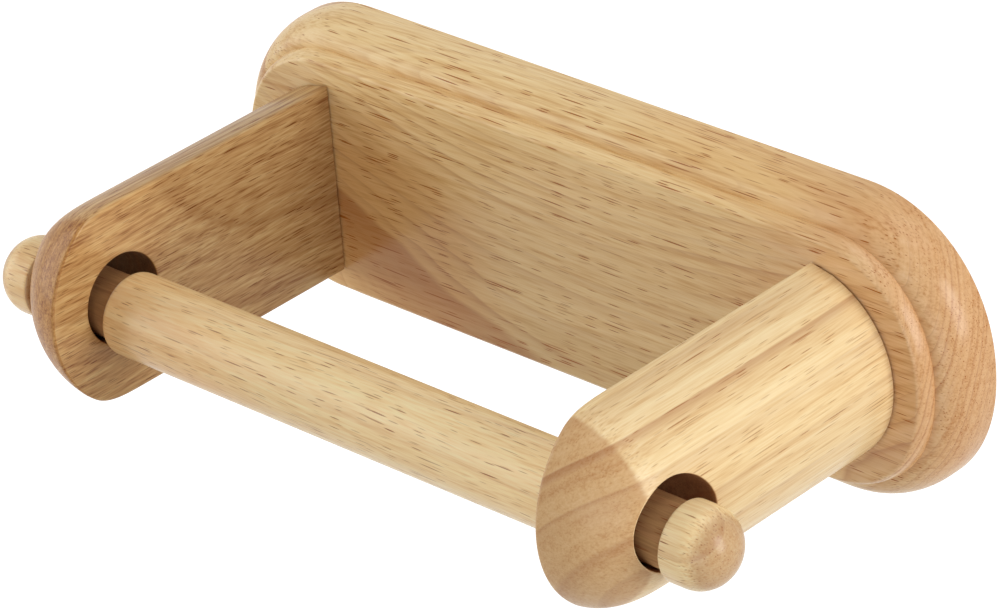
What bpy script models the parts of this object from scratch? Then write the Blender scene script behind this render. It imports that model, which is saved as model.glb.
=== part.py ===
# Toilet roll holder: a moulded wooden back plate, two half-round arms and a loose turned roller.
# X runs along the roller, -Y comes out from the wall and +Z is up.
# The origin is the middle of the plate's back face, which lies on the wall.

import math

import bmesh
import bpy

# Driving dimensions, all in metres

# Room for the roll: between the arms, and from the plate's face to the holes' axis
ARM_GAP = 0.134
ROLL_ROOM = 0.0645

# Back plate: an edge band, a large round-over, a small step and a bead lead up to the flat face
PLATE_BAND = 0.0032
ROUND_OVER_DEPTH = 0.0095
ROUND_OVER_WIDTH = 0.0057
STEP_DEPTH = 0.0006
BEAD_DEPTH = 0.0034
BEAD_WIDTH = 0.0022
FACE_MARGIN_SIDE = 0.0046
FACE_MARGIN_TOP = 0.0037
PLATE_END_LENGTH = 0.0313
PLATE_END_FULLNESS = 2.1

# Arms: a flat inner face, a round outer side and a domed front end
ARM_HEIGHT = 0.045
ARM_THICKNESS = 0.0205
ARM_FRONT_WALL = 0.0101
DOME_SWELL = 0.003
DOME_SIDE_SWELL = 0.0013

# Roller: a bar, a thinner neck in each arm's hole and a domed knob outside it
BAR_RADIUS = 0.0091
BAR_END_PLAY = 0.002
NECK_DEPTH = 0.002
KNOB_STEP = 0.00155
KNOB_PLAY = 0.0004
KNOB_LENGTH = 0.0121
SHOULDER_SHARE = 0.8
KNOB_EDGE_SHARE = 0.5
KNOB_DOME_SHARE = 0.645

# Clearances: how freely the bar slides through a hole, and the gap between pieces that touch
SLIDE_CLEARANCE = 0.0009
TOUCH_GAP = 0.0003

# Wood screws that hold each arm from behind
ARM_SCREW_LENGTH = 0.040
ARM_SCREW_RADIUS = 0.002
ARM_SCREW_HEAD_RADIUS = 0.004
ARM_SCREW_SPACING = 0.024
ARM_SCREW_PLACE_SHARE = 0.42
ARM_SCREW_SINK = 0.0005

# Keyhole plates let into the back, and their screws
HANGER_SPACING = 0.080
HANGER_WIDTH = 0.016
HANGER_THICKNESS = 0.0012
HANGER_SINK = 0.0002
HANGER_WEB = 0.0024
HANGER_END = 0.005
KEYHOLE_HEAD_RADIUS = 0.0048
KEYHOLE_SLOT_WIDTH = 0.005
KEYHOLE_TRAVEL = 0.010
CAVITY_DEPTH = 0.0065
HANGER_SCREW_LENGTH = 0.012
HANGER_SCREW_RADIUS = 0.0013
HANGER_SCREW_HEAD_RADIUS = 0.003

# Shapes that all screws share, as parts of their radii
HEAD_RIM_SHARE = 0.12
TIP_LENGTH_SHARE = 2.5
RECESS_SPAN_SHARE = 0.58
RECESS_WIDTH_SHARE = 0.15
RECESS_DEPTH_SHARE = 0.5

# How far a cutter runs past the face that it cuts
OVERRUN = 0.002

# How finely curves are divided
PLATE_END_STEPS = 32
MOULDING_STEPS = 6
ARM_STEPS = 36
DOME_STEPS = 10
TURNED_SIDES = 40
SCREW_SIDES = 20
SMALL_ARC_STEPS = 10

# Sizes worked out from the ones above
PLATE_THICKNESS = PLATE_BAND + ROUND_OVER_DEPTH + STEP_DEPTH + BEAD_DEPTH
MOULDING_WIDTH = ROUND_OVER_WIDTH + BEAD_WIDTH
ARM_HALF_HEIGHT = ARM_HEIGHT / 2
INNER_FACE = ARM_GAP / 2
PLATE_HALF_WIDTH = INNER_FACE + ARM_THICKNESS + FACE_MARGIN_SIDE + MOULDING_WIDTH
PLATE_HALF_HEIGHT = ARM_HALF_HEIGHT + FACE_MARGIN_TOP + MOULDING_WIDTH

HOLE_RADIUS = BAR_RADIUS + SLIDE_CLEARANCE
HOLE_REACH = PLATE_THICKNESS + ROLL_ROOM
ARM_BACK = PLATE_THICKNESS + TOUCH_GAP
DOME_REACH = HOLE_REACH + HOLE_RADIUS + ARM_FRONT_WALL
BARREL_RADIUS = (ARM_HALF_HEIGHT ** 2 + ARM_THICKNESS ** 2) / (2 * ARM_THICKNESS)
BARREL_AXIS = ARM_THICKNESS - BARREL_RADIUS
DOME_RADIUS = max(ARM_HALF_HEIGHT, BARREL_RADIUS) + DOME_SWELL
DOME_SIDE_RADIUS = BARREL_RADIUS + DOME_SIDE_SWELL

NECK_RADIUS = BAR_RADIUS - NECK_DEPTH
KNOB_RADIUS = NECK_RADIUS + KNOB_STEP
ROLLER_DROP = HOLE_RADIUS - NECK_RADIUS - TOUCH_GAP

ARM_SCREW_PLACE = INNER_FACE + ARM_SCREW_PLACE_SHARE * ARM_THICKNESS
SLOT_RADIUS = KEYHOLE_SLOT_WIDTH / 2
KEYHOLE_HALF = (KEYHOLE_HEAD_RADIUS + KEYHOLE_TRAVEL + SLOT_RADIUS) / 2
KEYHOLE_HEAD_Z = KEYHOLE_HEAD_RADIUS - KEYHOLE_HALF
KEYHOLE_SLOT_Z = KEYHOLE_HEAD_Z + KEYHOLE_TRAVEL
HANGER_SCREW_Z = KEYHOLE_HALF + HANGER_WEB + HANGER_SCREW_HEAD_RADIUS
HANGER_HALF = HANGER_SCREW_Z + HANGER_END
HANGER_BACK = HANGER_SINK + HANGER_THICKNESS
POCKET_DEPTH = HANGER_BACK + TOUCH_GAP

# Colours as linear red, green and blue
PLATE_COLOUR = (0.58, 0.38, 0.19)
ARM_COLOUR = (0.72, 0.52, 0.29)
ROLLER_COLOUR = (0.66, 0.46, 0.25)
STEEL_COLOUR = (0.62, 0.62, 0.60)


def clear_scene():
    # Starts from an empty file, whatever it was opened with
    for old in list(bpy.data.objects):
        bpy.data.objects.remove(old)


def make_material(name, colour, roughness, metallic):
    # One Principled surface with the piece's own colour
    material = bpy.data.materials.new(name)
    material.use_nodes = True
    shader = material.node_tree.nodes["Principled BSDF"]
    shader.inputs["Base Color"].default_value = (*colour, 1.0)
    shader.inputs["Roughness"].default_value = roughness
    shader.inputs["Metallic"].default_value = metallic
    material.diffuse_color = (*colour, 1.0)
    return material


def make_object(name, shape, place, material=None):
    # Turns a finished bmesh into an object with outward faces and smooth round sides
    bmesh.ops.recalc_face_normals(shape, faces=shape.faces)
    mesh = bpy.data.meshes.new(name)
    shape.to_mesh(mesh)
    shape.free()
    mesh.shade_smooth()
    mesh.set_sharp_from_angle(angle=math.radians(30))
    item = bpy.data.objects.new(name, mesh)
    item.location = place
    bpy.context.scene.collection.objects.link(item)
    if material is None:
        item.hide_render = True
        item.display_type = "WIRE"
    else:
        mesh.materials.append(material)
    return item


def cut(item, cutter, operation="DIFFERENCE"):
    # Adds an exact Boolean that stays live on the object
    boolean = item.modifiers.new(cutter.name, "BOOLEAN")
    boolean.operation = operation
    boolean.solver = "EXACT"
    boolean.object = cutter


def arc(start, end, steps):
    # Angles from start to end in equal steps, both ends included
    return [start + (end - start) * step / steps for step in range(steps + 1)]


def stack_loops(loops):
    # Skins a stack of equal loops of points and closes its two flat ends
    shape = bmesh.new()
    rings = [[shape.verts.new(point) for point in loop] for loop in loops]
    for low, high in zip(rings, rings[1:]):
        for here in range(len(low)):
            after = (here + 1) % len(low)
            shape.faces.new((low[here], low[after], high[after], high[here]))
    shape.faces.new(rings[0])
    shape.faces.new(rings[-1])
    return shape


def prism(outline, near, far):
    # An outline in X and Z, pushed from depth near to depth far behind the wall's plane
    return stack_loops([[(x, -depth, z) for x, z in outline] for depth in (near, far)])


def turned(profile, sides):
    # Spins a profile of (place along X, radius) round X, with a pole where the radius is zero
    shape = bmesh.new()
    rings = []
    for along, radius in profile:
        if radius == 0:
            rings.append([shape.verts.new((along, 0, 0))])
            continue
        angles = [2 * math.pi * side / sides for side in range(sides)]
        rings.append([shape.verts.new((along, radius * math.cos(a), radius * math.sin(a))) for a in angles])
    for low, high in zip(rings, rings[1:]):
        for here in range(sides):
            after = (here + 1) % sides
            if len(low) == 1:
                shape.faces.new((low[0], high[here], high[after]))
            elif len(high) == 1:
                shape.faces.new((low[here], high[0], low[after]))
            else:
                shape.faces.new((low[here], high[here], high[after], low[after]))
    return shape


def plate_outline():
    # Points and outward directions round the plate: two full round ends joined by straight sides
    centre = PLATE_HALF_WIDTH - PLATE_END_LENGTH
    power = 2 / PLATE_END_FULLNESS
    points = []
    for side in (1, -1):
        for angle in arc(side * math.pi / 2, -side * math.pi / 2, PLATE_END_STEPS):
            across = max(math.cos(angle), 0) ** power
            up = math.copysign(abs(math.sin(angle)) ** power, math.sin(angle))
            normal_x = across ** (PLATE_END_FULLNESS - 1) / PLATE_END_LENGTH
            normal_z = math.copysign(abs(up) ** (PLATE_END_FULLNESS - 1), up) / PLATE_HALF_HEIGHT
            length = math.hypot(normal_x, normal_z)
            x = side * (centre + PLATE_END_LENGTH * across)
            z = PLATE_HALF_HEIGHT * up
            points.append((x, z, side * normal_x / length, normal_z / length))
    return points


def moulding_profile():
    # The plate's edge as (inset, depth): band, round-over, step and bead
    profile = [(0, 0)]
    for angle in arc(0, math.pi / 2, MOULDING_STEPS):
        inset = ROUND_OVER_WIDTH * (1 - math.cos(angle))
        profile.append((inset, PLATE_BAND + ROUND_OVER_DEPTH * math.sin(angle)))
    bead_foot = PLATE_BAND + ROUND_OVER_DEPTH + STEP_DEPTH
    for angle in arc(0, math.pi / 2, MOULDING_STEPS):
        inset = ROUND_OVER_WIDTH + BEAD_WIDTH * (1 - math.cos(angle))
        profile.append((inset, bead_foot + BEAD_DEPTH * math.sin(angle)))
    return profile


def arm_outline(side):
    # The arm's section: a round outer side between the corners of the flat inner face
    reach = math.asin(ARM_HALF_HEIGHT / BARREL_RADIUS)
    if ARM_THICKNESS > BARREL_RADIUS:
        reach = math.pi - reach
    points = []
    for angle in arc(reach, -reach, ARM_STEPS):
        x = BARREL_AXIS + BARREL_RADIUS * math.cos(angle)
        points.append((side * x, BARREL_RADIUS * math.sin(angle)))
    return points


def stadium(half_width, low, high):
    # A slot shape in X and Z whose round ends are centred at heights low and high
    points = [(half_width * math.cos(a), high + half_width * math.sin(a))
              for a in arc(0, math.pi, SMALL_ARC_STEPS)]
    points += [(half_width * math.cos(a), low + half_width * math.sin(a))
               for a in arc(math.pi, 2 * math.pi, SMALL_ARC_STEPS)]
    return points


def keyhole_outline():
    # A round hole for a screw head with a narrower slot above it
    meet = math.asin(SLOT_RADIUS / KEYHOLE_HEAD_RADIUS)
    start = math.pi / 2 + meet
    points = [(KEYHOLE_HEAD_RADIUS * math.cos(a), KEYHOLE_HEAD_Z + KEYHOLE_HEAD_RADIUS * math.sin(a))
              for a in arc(start, start + 2 * math.pi - 2 * meet, 2 * SMALL_ARC_STEPS)]
    points += [(SLOT_RADIUS * math.cos(a), KEYHOLE_SLOT_Z + SLOT_RADIUS * math.sin(a))
               for a in arc(0, math.pi, SMALL_ARC_STEPS)]
    return points


def screw_profile(length, radius, head_radius):
    # A countersunk wood screw from the middle of its head to its tip
    rim = HEAD_RIM_SHARE * head_radius
    cone_end = rim + head_radius - radius
    tip = TIP_LENGTH_SHARE * radius
    return [(0, 0), (0, head_radius), (rim, head_radius), (cone_end, radius),
            (length - tip, radius), (length, 0)]


def screw_hole_profile(length, radius, head_radius):
    # The same screw's seat and pilot hole, wider all round and open at the head
    rim = HEAD_RIM_SHARE * head_radius
    cone_end = rim + head_radius - radius
    wide = head_radius + TOUCH_GAP
    narrow = radius + TOUCH_GAP
    bottom = length + TOUCH_GAP
    return [(-OVERRUN, 0), (-OVERRUN, wide), (rim, wide), (cone_end, narrow), (bottom, narrow), (bottom, 0)]


def cross_outline(span, width):
    # A plus sign, for a cross recess
    corners = []
    for quarter in range(4):
        c, s = round(math.cos(quarter * math.pi / 2)), round(math.sin(quarter * math.pi / 2))
        for x, z in ((span, -width), (span, width), (width, width)):
            corners.append((c * x - s * z, s * x + c * z))
    return corners


def add_screw(name, place, length, radius, head_radius, material, seats):
    # One screw with its cross recess, driven away from the wall, and its hole in each seat
    turn = (0, 0, -math.pi / 2)
    screw = make_object(name, turned(screw_profile(length, radius, head_radius), SCREW_SIDES), place, material)
    screw.rotation_euler = turn
    span = RECESS_SPAN_SHARE * head_radius
    outline = cross_outline(span, RECESS_WIDTH_SHARE * head_radius)
    recess = make_object(name + "_recess", prism(outline, -OVERRUN, RECESS_DEPTH_SHARE * head_radius), place)
    cut(screw, recess)
    hole_shape = turned(screw_hole_profile(length, radius, head_radius), SCREW_SIDES)
    hole = make_object(name + "_hole", hole_shape, place)
    hole.rotation_euler = turn
    for seat in seats:
        cut(seat, hole)


def add_plate():
    # The moulded back plate before anything is cut into it
    outline = plate_outline()
    loops = [[(x - nx * inset, -depth, z - nz * inset) for x, z, nx, nz in outline]
             for inset, depth in moulding_profile()]
    material = make_material("plate_wood", PLATE_COLOUR, 0.45, 0.0)
    return make_object("back_plate", stack_loops(loops), (0, 0, 0), material)


def dome_profile():
    # A round bar with a domed end, from behind the arm's back to the dome's tip
    centre = DOME_REACH - DOME_RADIUS
    profile = [(0, 0), (0, 1)]
    profile += [(centre + DOME_RADIUS * math.sin(a), math.cos(a)) for a in arc(0, math.pi / 2, DOME_STEPS)[:-1]]
    profile.append((DOME_REACH, 0))
    return profile


def add_arm(name, side):
    # One arm: its half-round length is trimmed to the dome and crossed by the roller's hole
    place = (side * INNER_FACE, 0, 0)
    material = make_material(name + "_wood", ARM_COLOUR, 0.42, 0.0)
    arm = make_object(name, prism(arm_outline(side), ARM_BACK, DOME_REACH + OVERRUN), place, material)

    # The dome is turned about the barrel's axis and is a little flatter from the side than from above
    shape = turned(dome_profile(), TURNED_SIDES)
    for vert in shape.verts:
        along, first, second = vert.co
        vert.co = (side * BARREL_AXIS + first * DOME_SIDE_RADIUS, -along, second * DOME_RADIUS)
    cut(arm, make_object(name + "_dome", shape, place), "INTERSECT")

    hole_length = ARM_THICKNESS + OVERRUN
    profile = [(-OVERRUN, 0), (-OVERRUN, HOLE_RADIUS), (hole_length, HOLE_RADIUS), (hole_length, 0)]
    hole = make_object(name + "_hole", turned(profile, TURNED_SIDES), (place[0], -HOLE_REACH, 0))
    if side < 0:
        hole.rotation_euler = (0, 0, math.pi)
    cut(arm, hole)
    return arm


def roller_profile():
    # Half of the roller from its middle outwards, as (place along the axis, radius)
    bar_end = INNER_FACE - BAR_END_PLAY
    knob_start = INNER_FACE + ARM_THICKNESS + KNOB_PLAY
    knob_end = knob_start + KNOB_LENGTH
    shoulder = SHOULDER_SHARE * NECK_DEPTH
    knob_edge = KNOB_EDGE_SHARE * KNOB_STEP
    dome = KNOB_DOME_SHARE * KNOB_LENGTH
    profile = []
    for angle in arc(0, math.pi / 2, MOULDING_STEPS):
        profile.append((bar_end - shoulder + shoulder * math.sin(angle),
                        BAR_RADIUS - shoulder + shoulder * math.cos(angle)))
    profile.append((bar_end, NECK_RADIUS))
    profile.append((knob_start, NECK_RADIUS))
    for angle in arc(math.pi / 2, 0, MOULDING_STEPS // 2):
        profile.append((knob_start + knob_edge - knob_edge * math.sin(angle),
                        KNOB_RADIUS - knob_edge + knob_edge * math.cos(angle)))
    for angle in arc(0, math.pi / 2, DOME_STEPS)[:-1]:
        profile.append((knob_end - dome + dome * math.sin(angle), KNOB_RADIUS * math.cos(angle)))
    profile.append((knob_end, 0))
    return profile


def add_roller():
    # The roller, with its origin on its own axis, lying low in both holes
    half = roller_profile()
    whole = [(-along, radius) for along, radius in reversed(half)] + half
    material = make_material("roller_wood", ROLLER_COLOUR, 0.42, 0.0)
    return make_object("roller", turned(whole, TURNED_SIDES), (0, -HOLE_REACH, -ROLLER_DROP), material)


def add_hanger(name, side, plate, material):
    # One keyhole plate, its pocket in the wood and the room for a screw head behind it
    place = (side * HANGER_SPACING / 2, 0, 0)
    half_width = HANGER_WIDTH / 2
    straight = HANGER_HALF - half_width
    hanger = make_object(name, prism(stadium(half_width, -straight, straight), HANGER_SINK, HANGER_BACK),
                         place, material)
    pocket = stadium(half_width + TOUCH_GAP, -straight, straight)
    cut(plate, make_object(name + "_pocket", prism(pocket, -OVERRUN, POCKET_DEPTH), place))
    cavity = stadium(KEYHOLE_HEAD_RADIUS + TOUCH_GAP, KEYHOLE_HEAD_Z, KEYHOLE_SLOT_Z)
    cut(plate, make_object(name + "_cavity", prism(cavity, -OVERRUN, POCKET_DEPTH + CAVITY_DEPTH), place))
    cut(hanger, make_object(name + "_keyhole", prism(keyhole_outline(), -OVERRUN, HANGER_BACK + OVERRUN), place))
    return hanger


def main():
    clear_scene()
    plate = add_plate()
    add_roller()
    for side, word in ((-1, "left"), (1, "right")):
        arm = add_arm(word + "_arm", side)
        hanger_steel = make_material(word + "_hanger_steel", STEEL_COLOUR, 0.35, 1.0)
        hanger = add_hanger("hanger_plate_" + word, side, plate, hanger_steel)
        for up, height in ((1, "upper"), (-1, "lower")):
            label = word + "_" + height
            screw_steel = make_material(label + "_screw_steel", STEEL_COLOUR, 0.3, 1.0)
            add_screw("arm_screw_" + label,
                      (side * ARM_SCREW_PLACE, -ARM_SCREW_SINK, up * ARM_SCREW_SPACING / 2),
                      ARM_SCREW_LENGTH, ARM_SCREW_RADIUS, ARM_SCREW_HEAD_RADIUS, screw_steel, (plate, arm))
            add_screw("hanger_screw_" + label,
                      (side * HANGER_SPACING / 2, -HANGER_SINK, up * HANGER_SCREW_Z),
                      HANGER_SCREW_LENGTH, HANGER_SCREW_RADIUS, HANGER_SCREW_HEAD_RADIUS, screw_steel,
                      (plate, hanger))


main()
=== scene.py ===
import functools
import math

import bmesh
import bpy
import numpy as np
from mathutils import Matrix, Vector
from mathutils.geometry import tessellate_polygon


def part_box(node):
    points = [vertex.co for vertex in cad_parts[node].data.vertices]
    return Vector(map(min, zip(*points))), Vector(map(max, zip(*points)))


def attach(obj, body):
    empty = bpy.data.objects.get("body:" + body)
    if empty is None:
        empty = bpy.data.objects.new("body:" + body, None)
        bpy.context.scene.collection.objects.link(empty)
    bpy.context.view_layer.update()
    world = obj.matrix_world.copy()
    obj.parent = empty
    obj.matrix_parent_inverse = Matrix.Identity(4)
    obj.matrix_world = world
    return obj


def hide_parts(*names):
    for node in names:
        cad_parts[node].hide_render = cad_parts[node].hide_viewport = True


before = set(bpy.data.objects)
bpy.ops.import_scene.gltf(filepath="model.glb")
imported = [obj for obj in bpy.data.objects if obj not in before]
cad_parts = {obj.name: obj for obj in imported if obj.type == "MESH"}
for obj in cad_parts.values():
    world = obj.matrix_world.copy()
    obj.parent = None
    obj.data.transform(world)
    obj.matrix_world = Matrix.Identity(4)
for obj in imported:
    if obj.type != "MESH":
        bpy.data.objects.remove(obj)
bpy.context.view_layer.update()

# Toilet roll holder in lacquered rubberwood. Shapes are worked out in millimetres and put into
# the meshes in metres: x along the roller, y into the wall, z up. A depth is a distance out
# from the wall, so it is minus y.
millimetre = 0.001
weldReach = 0.0001            # points nearer than this are one point, in millimetres
tiny = 1e-9                   # keeps a divisor above zero
print("frame loaded:", len(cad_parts), "solids")


def boxInMm(nodeName):
    # A solid's lowest and highest corner, in millimetres
    low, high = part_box(nodeName)
    return np.array(low) / millimetre, np.array(high) / millimetre


def inMetres(lengths):
    return [length * millimetre for length in lengths]


# Meshes

def gridFaces(rows, columns, closeRows=False):
    # Quads of a grid of points numbered row by row. Each row runs round and joins its own start,
    # and where the rows are closed too, the last row joins the first.
    row = np.arange(rows if closeRows else rows - 1)[:, None]
    column = np.arange(columns)[None, :]
    here, after = row * columns, (row + 1) % rows * columns
    beside = (column + 1) % columns
    corners = [here + column, here + beside, after + beside, after + column]
    return np.stack([corner.ravel() for corner in corners], axis=1)


def flatFaces(loops):
    # Triangles of a flat area between an outer loop and the loops of its holes
    return np.array(tessellate_polygon([[Vector(point) for point in loop] for loop in loops]))


def makePiece(name, parts, materials, node, body, sharpDegrees=38):
    # Joins parts of (points, faces, material number), welds the points that meet, drops faces that
    # have shrunk to a line, turns all faces outwards and lets the new piece stand for its solid.
    # An edge that turns by more than sharpDegrees stays sharp.
    points = np.concatenate([part[0].reshape(-1, 3) for part in parts])
    _, first, weld = np.unique(np.round(points / weldReach).astype(np.int64), axis=0,
                               return_index=True, return_inverse=True)
    weld = weld.ravel()
    triangles, numbers, start = [], [], 0
    for partPoints, faces, number in parts:
        faces = np.asarray(faces)
        halves = [faces] if faces.shape[1] == 3 else [faces[:, [0, 1, 2]], faces[:, [0, 2, 3]]]
        for half in halves:
            joined = weld[half + start]
            kept = (joined != np.roll(joined, 1, axis=1)).all(axis=1)
            triangles.append(joined[kept])
            numbers.append(np.full(kept.sum(), number))
        start += partPoints.size // 3
    mesh = bpy.data.meshes.new(name)
    mesh.from_pydata(points[first] * millimetre, [], np.concatenate(triangles))
    mesh.polygons.foreach_set("material_index", np.concatenate(numbers))
    shape = bmesh.new()
    shape.from_mesh(mesh)
    bmesh.ops.recalc_face_normals(shape, faces=shape.faces)
    shape.to_mesh(mesh)
    shape.free()
    for material in materials:
        mesh.materials.append(material)
    mesh.shade_smooth()
    mesh.set_sharp_from_angle(angle=math.radians(sharpDegrees))
    piece = bpy.data.objects.new(name, mesh)
    bpy.context.scene.collection.objects.link(piece)
    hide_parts(node)
    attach(piece, body)
    print("made", name, len(mesh.polygons), "triangles")
    return piece


def crowded(count):
    # Shares from 0 to 1 that crowd towards both ends, as half a turn of a cosine does
    return 0.5 - 0.5 * np.cos(np.linspace(0, np.pi, count))


def quarter(count):
    # Sines and cosines of a quarter turn
    angle = np.linspace(0, np.pi / 2, count)
    return np.sin(angle), np.cos(angle)


# Materials

def colour(hexCode):
    # An sRGB hex value as linear red, green, blue and alpha, by the sRGB formula
    shares = np.array([int(hexCode[start:start + 2], 16) / 255 for start in (1, 3, 5)])
    linear = np.where(shares <= 0.04045, shares / 12.92, ((shares + 0.055) / 1.055) ** 2.4)
    return (*linear, 1.0)


def addNode(tree, kind, inputs=None, **settings):
    # Adds one shader node with its settings. Each input gets a value, or a link from a socket or
    # from a node's first output.
    added = tree.nodes.new("ShaderNode" + kind)
    for key, value in settings.items():
        setattr(added, key, value)
    for key, source in (inputs or {}).items():
        if isinstance(source, bpy.types.Node):
            source = source.outputs[0]
        if isinstance(source, bpy.types.NodeSocket):
            tree.links.new(source, added.inputs[key])
        else:
            added.inputs[key].default_value = source
    return added


def newMaterial(name):
    # A new material, its node tree and the Principled shader in it
    material = bpy.data.materials.new(name)
    material.use_nodes = True
    return material, material.node_tree, material.node_tree.nodes["Principled BSDF"]


poreDashes = {
    # Vessels: (cell along, cell across, share of the cells, reach of the dark part). A dash is at
    # most 2 x reach of its cell long and wide. The thinnest are 0.15 mm wide and are drawn 0.25 mm
    # to show.
    "long": (17.0, 0.56, 0.50, 0.31),
    "short": (7.0, 0.42, 0.60, 0.31),
}

wood = {
    # What all the woods share. Lengths in millimetres, along and then across the grain:
    "toneLength": 300,            # bands of tone between the growth lines
    "comeAndGo": (55, 4.0),       # stretches in which the growth lines are strong or faint
    "fineRings": (150, 0.8),
    "streakLength": 150,
    "fibre": (9, 0.4),
    "blushAndShadeEdge": (30, 5),         # how ragged a pinker stretch or a stretch of painted shade is
    "accentEdge": 0.3,
    "accentFade": 30,
    "filmDip": 0.1,               # depth of the film's dip over a pore
    # Strengths and shares:
    "lineShares": ((0.03, 0.0), (0.45, 0.0), (0.85, 0.45), (0.975, 1.0)),  # place, darkness
    "lineEndShare": 0.5,          # darkness where one line's spacing ends and the next begins
    "comeAndGoNoise": (0.36, 0.64),
    "comeAndGoShares": (0.35, 1.65),
    "calmShare": 0.35,            # what is left of the growth lines at a calm top edge
    "noiseSpread": 0.27,          # how far noise strays from its middle
    "blushAndShadeShares": (0.4, 1.0),    # where a pinker stretch or a stretch of painted shade is full and where it has gone
    "blushAndShadeRagged": 0.5,
    "pickEdge": 0.04,             # a few of the picked pores are faint
    "poreSoftShare": 0.5,         # where a dash starts to fade
    "poreDepth": (0.2, 0.3),      # the random number of the palest pores, and their strength
    "poreFill": (0.4, 1.1, 0.75),   # how dark pores are everywhere, in lines and in streaks
    "endPoreFrom": (0.05, 0.3),   # how much a face turns to the grain as pores get paler
    "dipStrength": 0.2,
    "roughSpread": 0.1,
    "coatRough": 0.25,
    "ior": 1.5,
    "bareRough": 0.75,
    "bareShine": 0.3,
}


def makeWood(name, look):
    # Sawn and sanded rubberwood under satin lacquer: pale straw, pink-brown growth lines that are
    # sharp on their bark side, streaks along the grain, and open pores that show as short dark
    # dashes along the grain and as dots on end grain, where the wood is pinker and darker.
    # A look says where the log's pith lies and how the log is turned, bows and sways, how wide its
    # rings and streaks are in millimetres, and its colours, pores and lacquer.
    material, tree, shader = newMaterial(name)
    add = functools.partial(addNode, tree)
    coords = add("TexCoord").outputs
    # log space is in millimetres, x along the grain and the pith on the axis
    log = add("Mapping", {"Vector": coords["Object"], "Location": inMetres(look["pith"]),
                          "Rotation": [math.radians(degrees) for degrees in look["turn"]],
                          "Scale": [millimetre] * 3}, vector_type="TEXTURE")

    def soft(source, along, across, detail=2.0, rough=0.5):
        # Noise round 0.5, with grains of the given length and width in millimetres
        sized = add("Mapping", {"Vector": source, "Scale": (1 / along, 1 / across, 1 / across)})
        return add("TexNoise", {"Vector": sized, "Scale": 1.0, "Detail": detail, "Roughness": rough})

    def summed(terms, start=0.0):
        # The sum of value x weight over all terms
        for value, weight in terms:
            start = add("Math", {0: value, 1: weight, 2: start}, operation="MULTIPLY_ADD")
        return start

    # the log sways, and bows by bow x (place - middle) squared, so its growth rings curve on a
    # flat face
    sway = look["sway"]
    swayed = soft(log, *look["swaySize"]).outputs["Color"]
    bent = add("VectorMath", {0: swayed, 1: (0, sway, sway), 2: log}, operation="MULTIPLY_ADD")
    across = add("VectorMath", {0: bent, 1: (0, 1, 1)}, operation="MULTIPLY")
    along = add("SeparateXYZ", {0: bent}).outputs[0]
    off = add("Math", {0: along, 1: look["bow"][0]}, operation="SUBTRACT")
    bow = add("Math", {0: off, 1: off}, operation="MULTIPLY")
    radius = summed([(bow, -look["bow"][1]),
                     (add("VectorMath", {0: across}, operation="LENGTH").outputs["Value"], 1.0)])
    rings = add("CombineXYZ", {0: along, 1: radius})
    tone = soft(rings, wood["toneLength"], look["ring"], rough=0.6)

    # growth lines: (radius - first line) / spacing, moved about by the tone, strong in places and
    # faint in others
    spacing, loose = look["spacing"], look["loose"]
    order = summed([(radius, 1 / spacing), (tone, loose)], -look["firstLine"] / spacing - 0.5 * loose)
    line = add("ValToRGB", {"Fac": add("Math", {0: order}, operation="FRACT")})
    ramp = line.color_ramp
    for place, shade in wood["lineShares"]:
        ramp.elements.new(place).color = (shade, shade, shade, 1)
    half = wood["lineEndShare"]
    ramp.elements[0].color = ramp.elements[-1].color = (half, half, half, 1)
    noiseLow, noiseHigh = wood["comeAndGoNoise"]
    faint, strong = wood["comeAndGoShares"]
    fading = add("MapRange", {"Value": soft(rings, *wood["comeAndGo"]), "From Min": noiseLow,
                              "From Max": noiseHigh, "To Min": look["lineStrength"] * faint,
                              "To Max": look["lineStrength"] * strong})
    line = add("Math", {0: line, 1: fading}, operation="MULTIPLY")
    if "calmFrom" in look:
        # they are fainter towards the top edge, where the surface turns along the rings
        calmLow, calmHigh = look["calmFrom"]
        height = add("SeparateXYZ", {0: coords["Object"]}).outputs[2]
        calm = add("MapRange", {"Value": height, "From Min": calmLow * millimetre,
                                "From Max": calmHigh * millimetre, "To Min": 1.0,
                                "To Max": wood["calmShare"]})
        line = add("Math", {0: line, 1: calm}, operation="MULTIPLY")
    if "accent" in look:
        # one line that stands out: its radius, how far it fades towards the pith, its strength, and
        # where along the grain it fades out
        accentRadius, fade, strength, until = look["accent"]
        inner = add("MapRange", {"Value": radius, "From Min": accentRadius - fade, "From Max": accentRadius,
                                 "To Max": strength}, interpolation_type="SMOOTHSTEP")
        outer = add("MapRange", {"Value": radius, "From Min": accentRadius,
                                 "From Max": accentRadius + wood["accentEdge"], "To Min": 1.0, "To Max": 0.0})
        reached = add("MapRange", {"Value": along, "From Min": until - wood["accentFade"],
                                   "From Max": until, "To Min": 1.0, "To Max": 0.0})
        accent = add("Math", {0: inner, 1: outer}, operation="MULTIPLY")
        accent = add("Math", {0: accent, 1: reached}, operation="MULTIPLY")
        line = add("Math", {0: line, 1: accent}, operation="MAXIMUM")
    # tone between the lines, fine ring lines, streaks along the grain and fibres
    shares = look["figure"]
    streaks = soft(bent, wood["streakLength"], look["streakWidth"], detail=3.0, rough=0.62)
    figure = summed([(tone, shares[0]), (soft(rings, *wood["fineRings"], rough=0.6), shares[1]),
                     (streaks, shares[2]), (soft(bent, *wood["fibre"], detail=1.0, rough=0.6), shares[3])],
                    -0.5 * sum(shares))
    spread = wood["noiseSpread"] * math.sqrt(sum(share ** 2 for share in shares))
    figure = add("MapRange", {"Value": figure, "From Min": -spread, "From Max": spread})
    paint = add("ValToRGB", {"Fac": figure})
    paint.color_ramp.elements[0].color = colour(look["pale"])
    paint.color_ramp.elements[1].color = colour(look["deep"])
    paint.color_ramp.elements.new(0.5).color = colour(look["middle"])
    paint = add("Mix", {0: line, 6: paint, 7: colour(look["line"])}, data_type="RGBA").outputs[2]

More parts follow.
